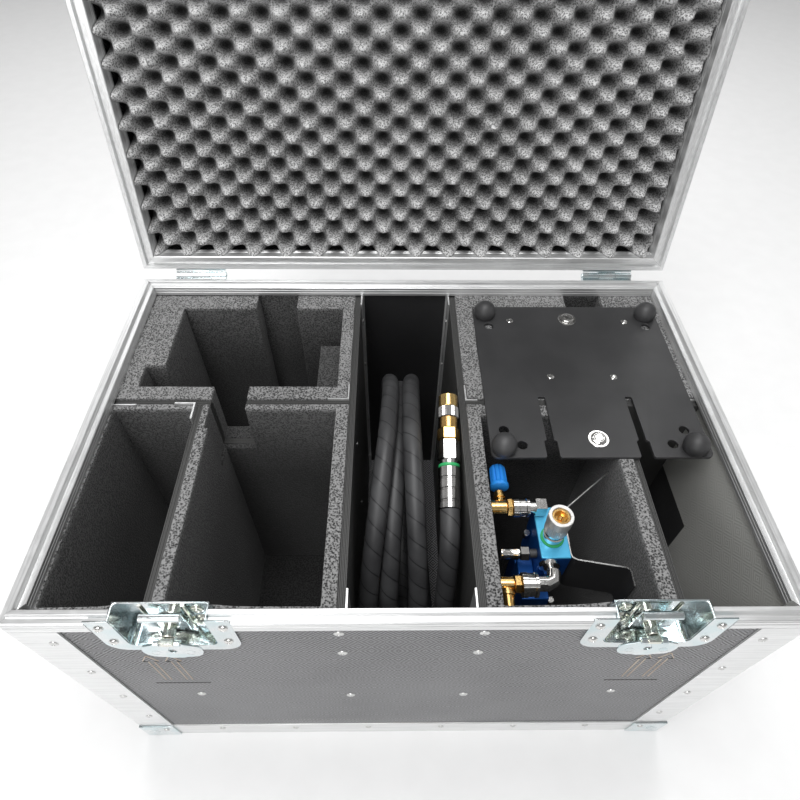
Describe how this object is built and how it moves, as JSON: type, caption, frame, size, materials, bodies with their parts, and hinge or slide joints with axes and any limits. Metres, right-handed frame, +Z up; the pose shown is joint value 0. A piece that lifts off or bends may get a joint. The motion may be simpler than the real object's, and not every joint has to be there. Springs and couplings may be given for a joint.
{
  "type": "fitted equipment case",
  "caption": "Open aluminium-edged road case with a hinged foam-lined lid, recessed butterfly latches, divided foam compartments and a packed hose, base plate and valve.",
  "frame": {"origin": "centre of the bottom panel's underside, on the plane the case stands on", "axes": "+Z up, -Y towards the front with the latches, +X to the right seen from the front; the lid rests open, leaning back"},
  "size_m": [0.6074, 0.5669, 0.7562],
  "materials": {
    "ply": "black textured phenolic film on birch plywood, satin",
    "board": "dark-faced plywood with layered edges, matt",
    "aluminium": "extruded aluminium, satin",
    "zinc": "bright zinc-plated pressed steel",
    "foam": "charcoal cellular foam, matt",
    "handle": "black powder coat",
    "powder_coat": "black fine-textured powder coat",
    "hose": "black hose with a spiral guard",
    "brass": "polished brass and chromed steel",
    "anodised": "blue anodised"
  },
  "bodies": {
    "case_body": {"back_panel": "ply", "body_edge_frame": "aluminium", "body_rim": "aluminium", "body_rim_front": "aluminium", "bottom_panel": "ply", "cross_board_left": "board", "cross_board_right": "board", "divider_left": "board", "divider_right": "board", "foam_front_left": "foam", "foam_front_right": "foam", "foam_rear_left": "foam", "foam_rear_right": "foam", "foam_slot_left": "foam", "foot_corner_back_left": "zinc", "foot_corner_back_right": "zinc", "foot_corner_front_left": "zinc", "foot_corner_front_right": "zinc", "front_panel": "ply", "handle_dish_left": "handle", "handle_dish_right": "handle", "hinge_leaf_body_left": "zinc", "hinge_leaf_body_right": "zinc", "latch_dish_left": "zinc", "latch_dish_right": "zinc", "left_panel": "ply", "right_panel": "ply", "slot_board_left": "board", "slot_board_right": "board"},
    "lid": {"foam_lid": "foam", "hinge_leaf_lid_left": "zinc", "hinge_leaf_lid_right": "zinc", "latch_keeper_left": "zinc", "latch_keeper_right": "zinc", "lid_back_panel": "ply", "lid_corner_back_left": "zinc", "lid_corner_back_right": "zinc", "lid_corner_front_left": "zinc", "lid_corner_front_right": "zinc", "lid_edge_frame": "aluminium", "lid_front_panel": "ply", "lid_left_panel": "ply", "lid_right_panel": "ply", "lid_rim": "aluminium", "lid_rim_front": "aluminium", "lid_top_panel": "ply"},
    "latch_spindle_left": {"latch_spindle_left": "zinc"},
    "latch_wing_left": {"latch_wing_left": "zinc"},
    "latch_hook_left": {"latch_hook_left": "zinc"},
    "handle_bail_left": {"handle_bail_left": "handle"},
    "latch_spindle_right": {"latch_spindle_right": "zinc"},
    "latch_wing_right": {"latch_wing_right": "zinc"},
    "latch_hook_right": {"latch_hook_right": "zinc"},
    "handle_bail_right": {"handle_bail_right": "handle"},
    "base_plate": {"base_plate": "powder_coat"},
    "hose": {"hose_coil": "hose", "hose_tail": "hose", "hose_coupling": "brass"},
    "valve": {"valve_block": "anodised"},
    "valve_knob": {"valve_knob": "anodised"}
  },
  "joints": [
    {"name": "lid_hinge", "type": "hinge", "parent": "case_body", "child": "lid", "pos_m": [0, 0.204, 0.3613], "axis": [-1, 0, 0], "range_deg": [-100, 0]},
    {"name": "latch_turn_left", "type": "hinge", "parent": "case_body", "child": "latch_spindle_left", "pos_m": [-0.185, -0.197, 0.332], "axis": [0, 1, 0], "range_deg": [0, 180]},
    {"name": "latch_draw_left", "type": "slide", "parent": "case_body", "child": "latch_hook_left", "axis": [0, 0, -1], "range_m": [0, 0.008]},
    {"name": "wing_fold_left", "type": "hinge", "parent": "latch_spindle_left", "child": "latch_wing_left", "pos_m": [-0.185, -0.201, 0.332], "axis": [-1, 0, 0], "range_deg": [0, 90]},
    {"name": "handle_lift_left", "type": "hinge", "parent": "case_body", "child": "handle_bail_left", "pos_m": [-0.2952, 0, 0.233], "axis": [0, 1, 0], "range_deg": [0, 90], "stiffness_Nm_per_rad": 0.15},
    {"name": "latch_turn_right", "type": "hinge", "parent": "case_body", "child": "latch_spindle_right", "pos_m": [0.185, -0.197, 0.332], "axis": [0, 1, 0], "range_deg": [0, 180]},
    {"name": "latch_draw_right", "type": "slide", "parent": "case_body", "child": "latch_hook_right", "axis": [0, 0, -1], "range_m": [0, 0.008]},
    {"name": "wing_fold_right", "type": "hinge", "parent": "latch_spindle_right", "child": "latch_wing_right", "pos_m": [0.185, -0.201, 0.332], "axis": [-1, 0, 0], "range_deg": [0, 90]},
    {"name": "handle_lift_right", "type": "hinge", "parent": "case_body", "child": "handle_bail_right", "pos_m": [0.2952, 0, 0.233], "axis": [0, -1, 0], "range_deg": [0, 90], "stiffness_Nm_per_rad": 0.15},
    {"name": "base_plate_lift", "type": "slide", "parent": "case_body", "child": "base_plate", "axis": [0, 0, 1], "range_m": [0, 0.12]},
    {"name": "hose_lift", "type": "slide", "parent": "case_body", "child": "hose", "axis": [0, 0, 1], "range_m": [0, 0.34]},
    {"name": "valve_lift", "type": "slide", "parent": "case_body", "child": "valve", "axis": [0, 0, 1], "range_m": [0, 0.36]},
    {"name": "knob_turn", "type": "hinge", "parent": "valve", "child": "valve_knob", "pos_m": [0.082, -0.069, 0.331], "axis": [0, -1, 0], "range_deg": [0, 270]}
  ],
  "couplings": [
    {"joint": "latch_draw_left", "follows": "latch_turn_left", "m_per_rad": 0.0025},
    {"joint": "latch_draw_right", "follows": "latch_turn_right", "m_per_rad": 0.0025}
  ]
}
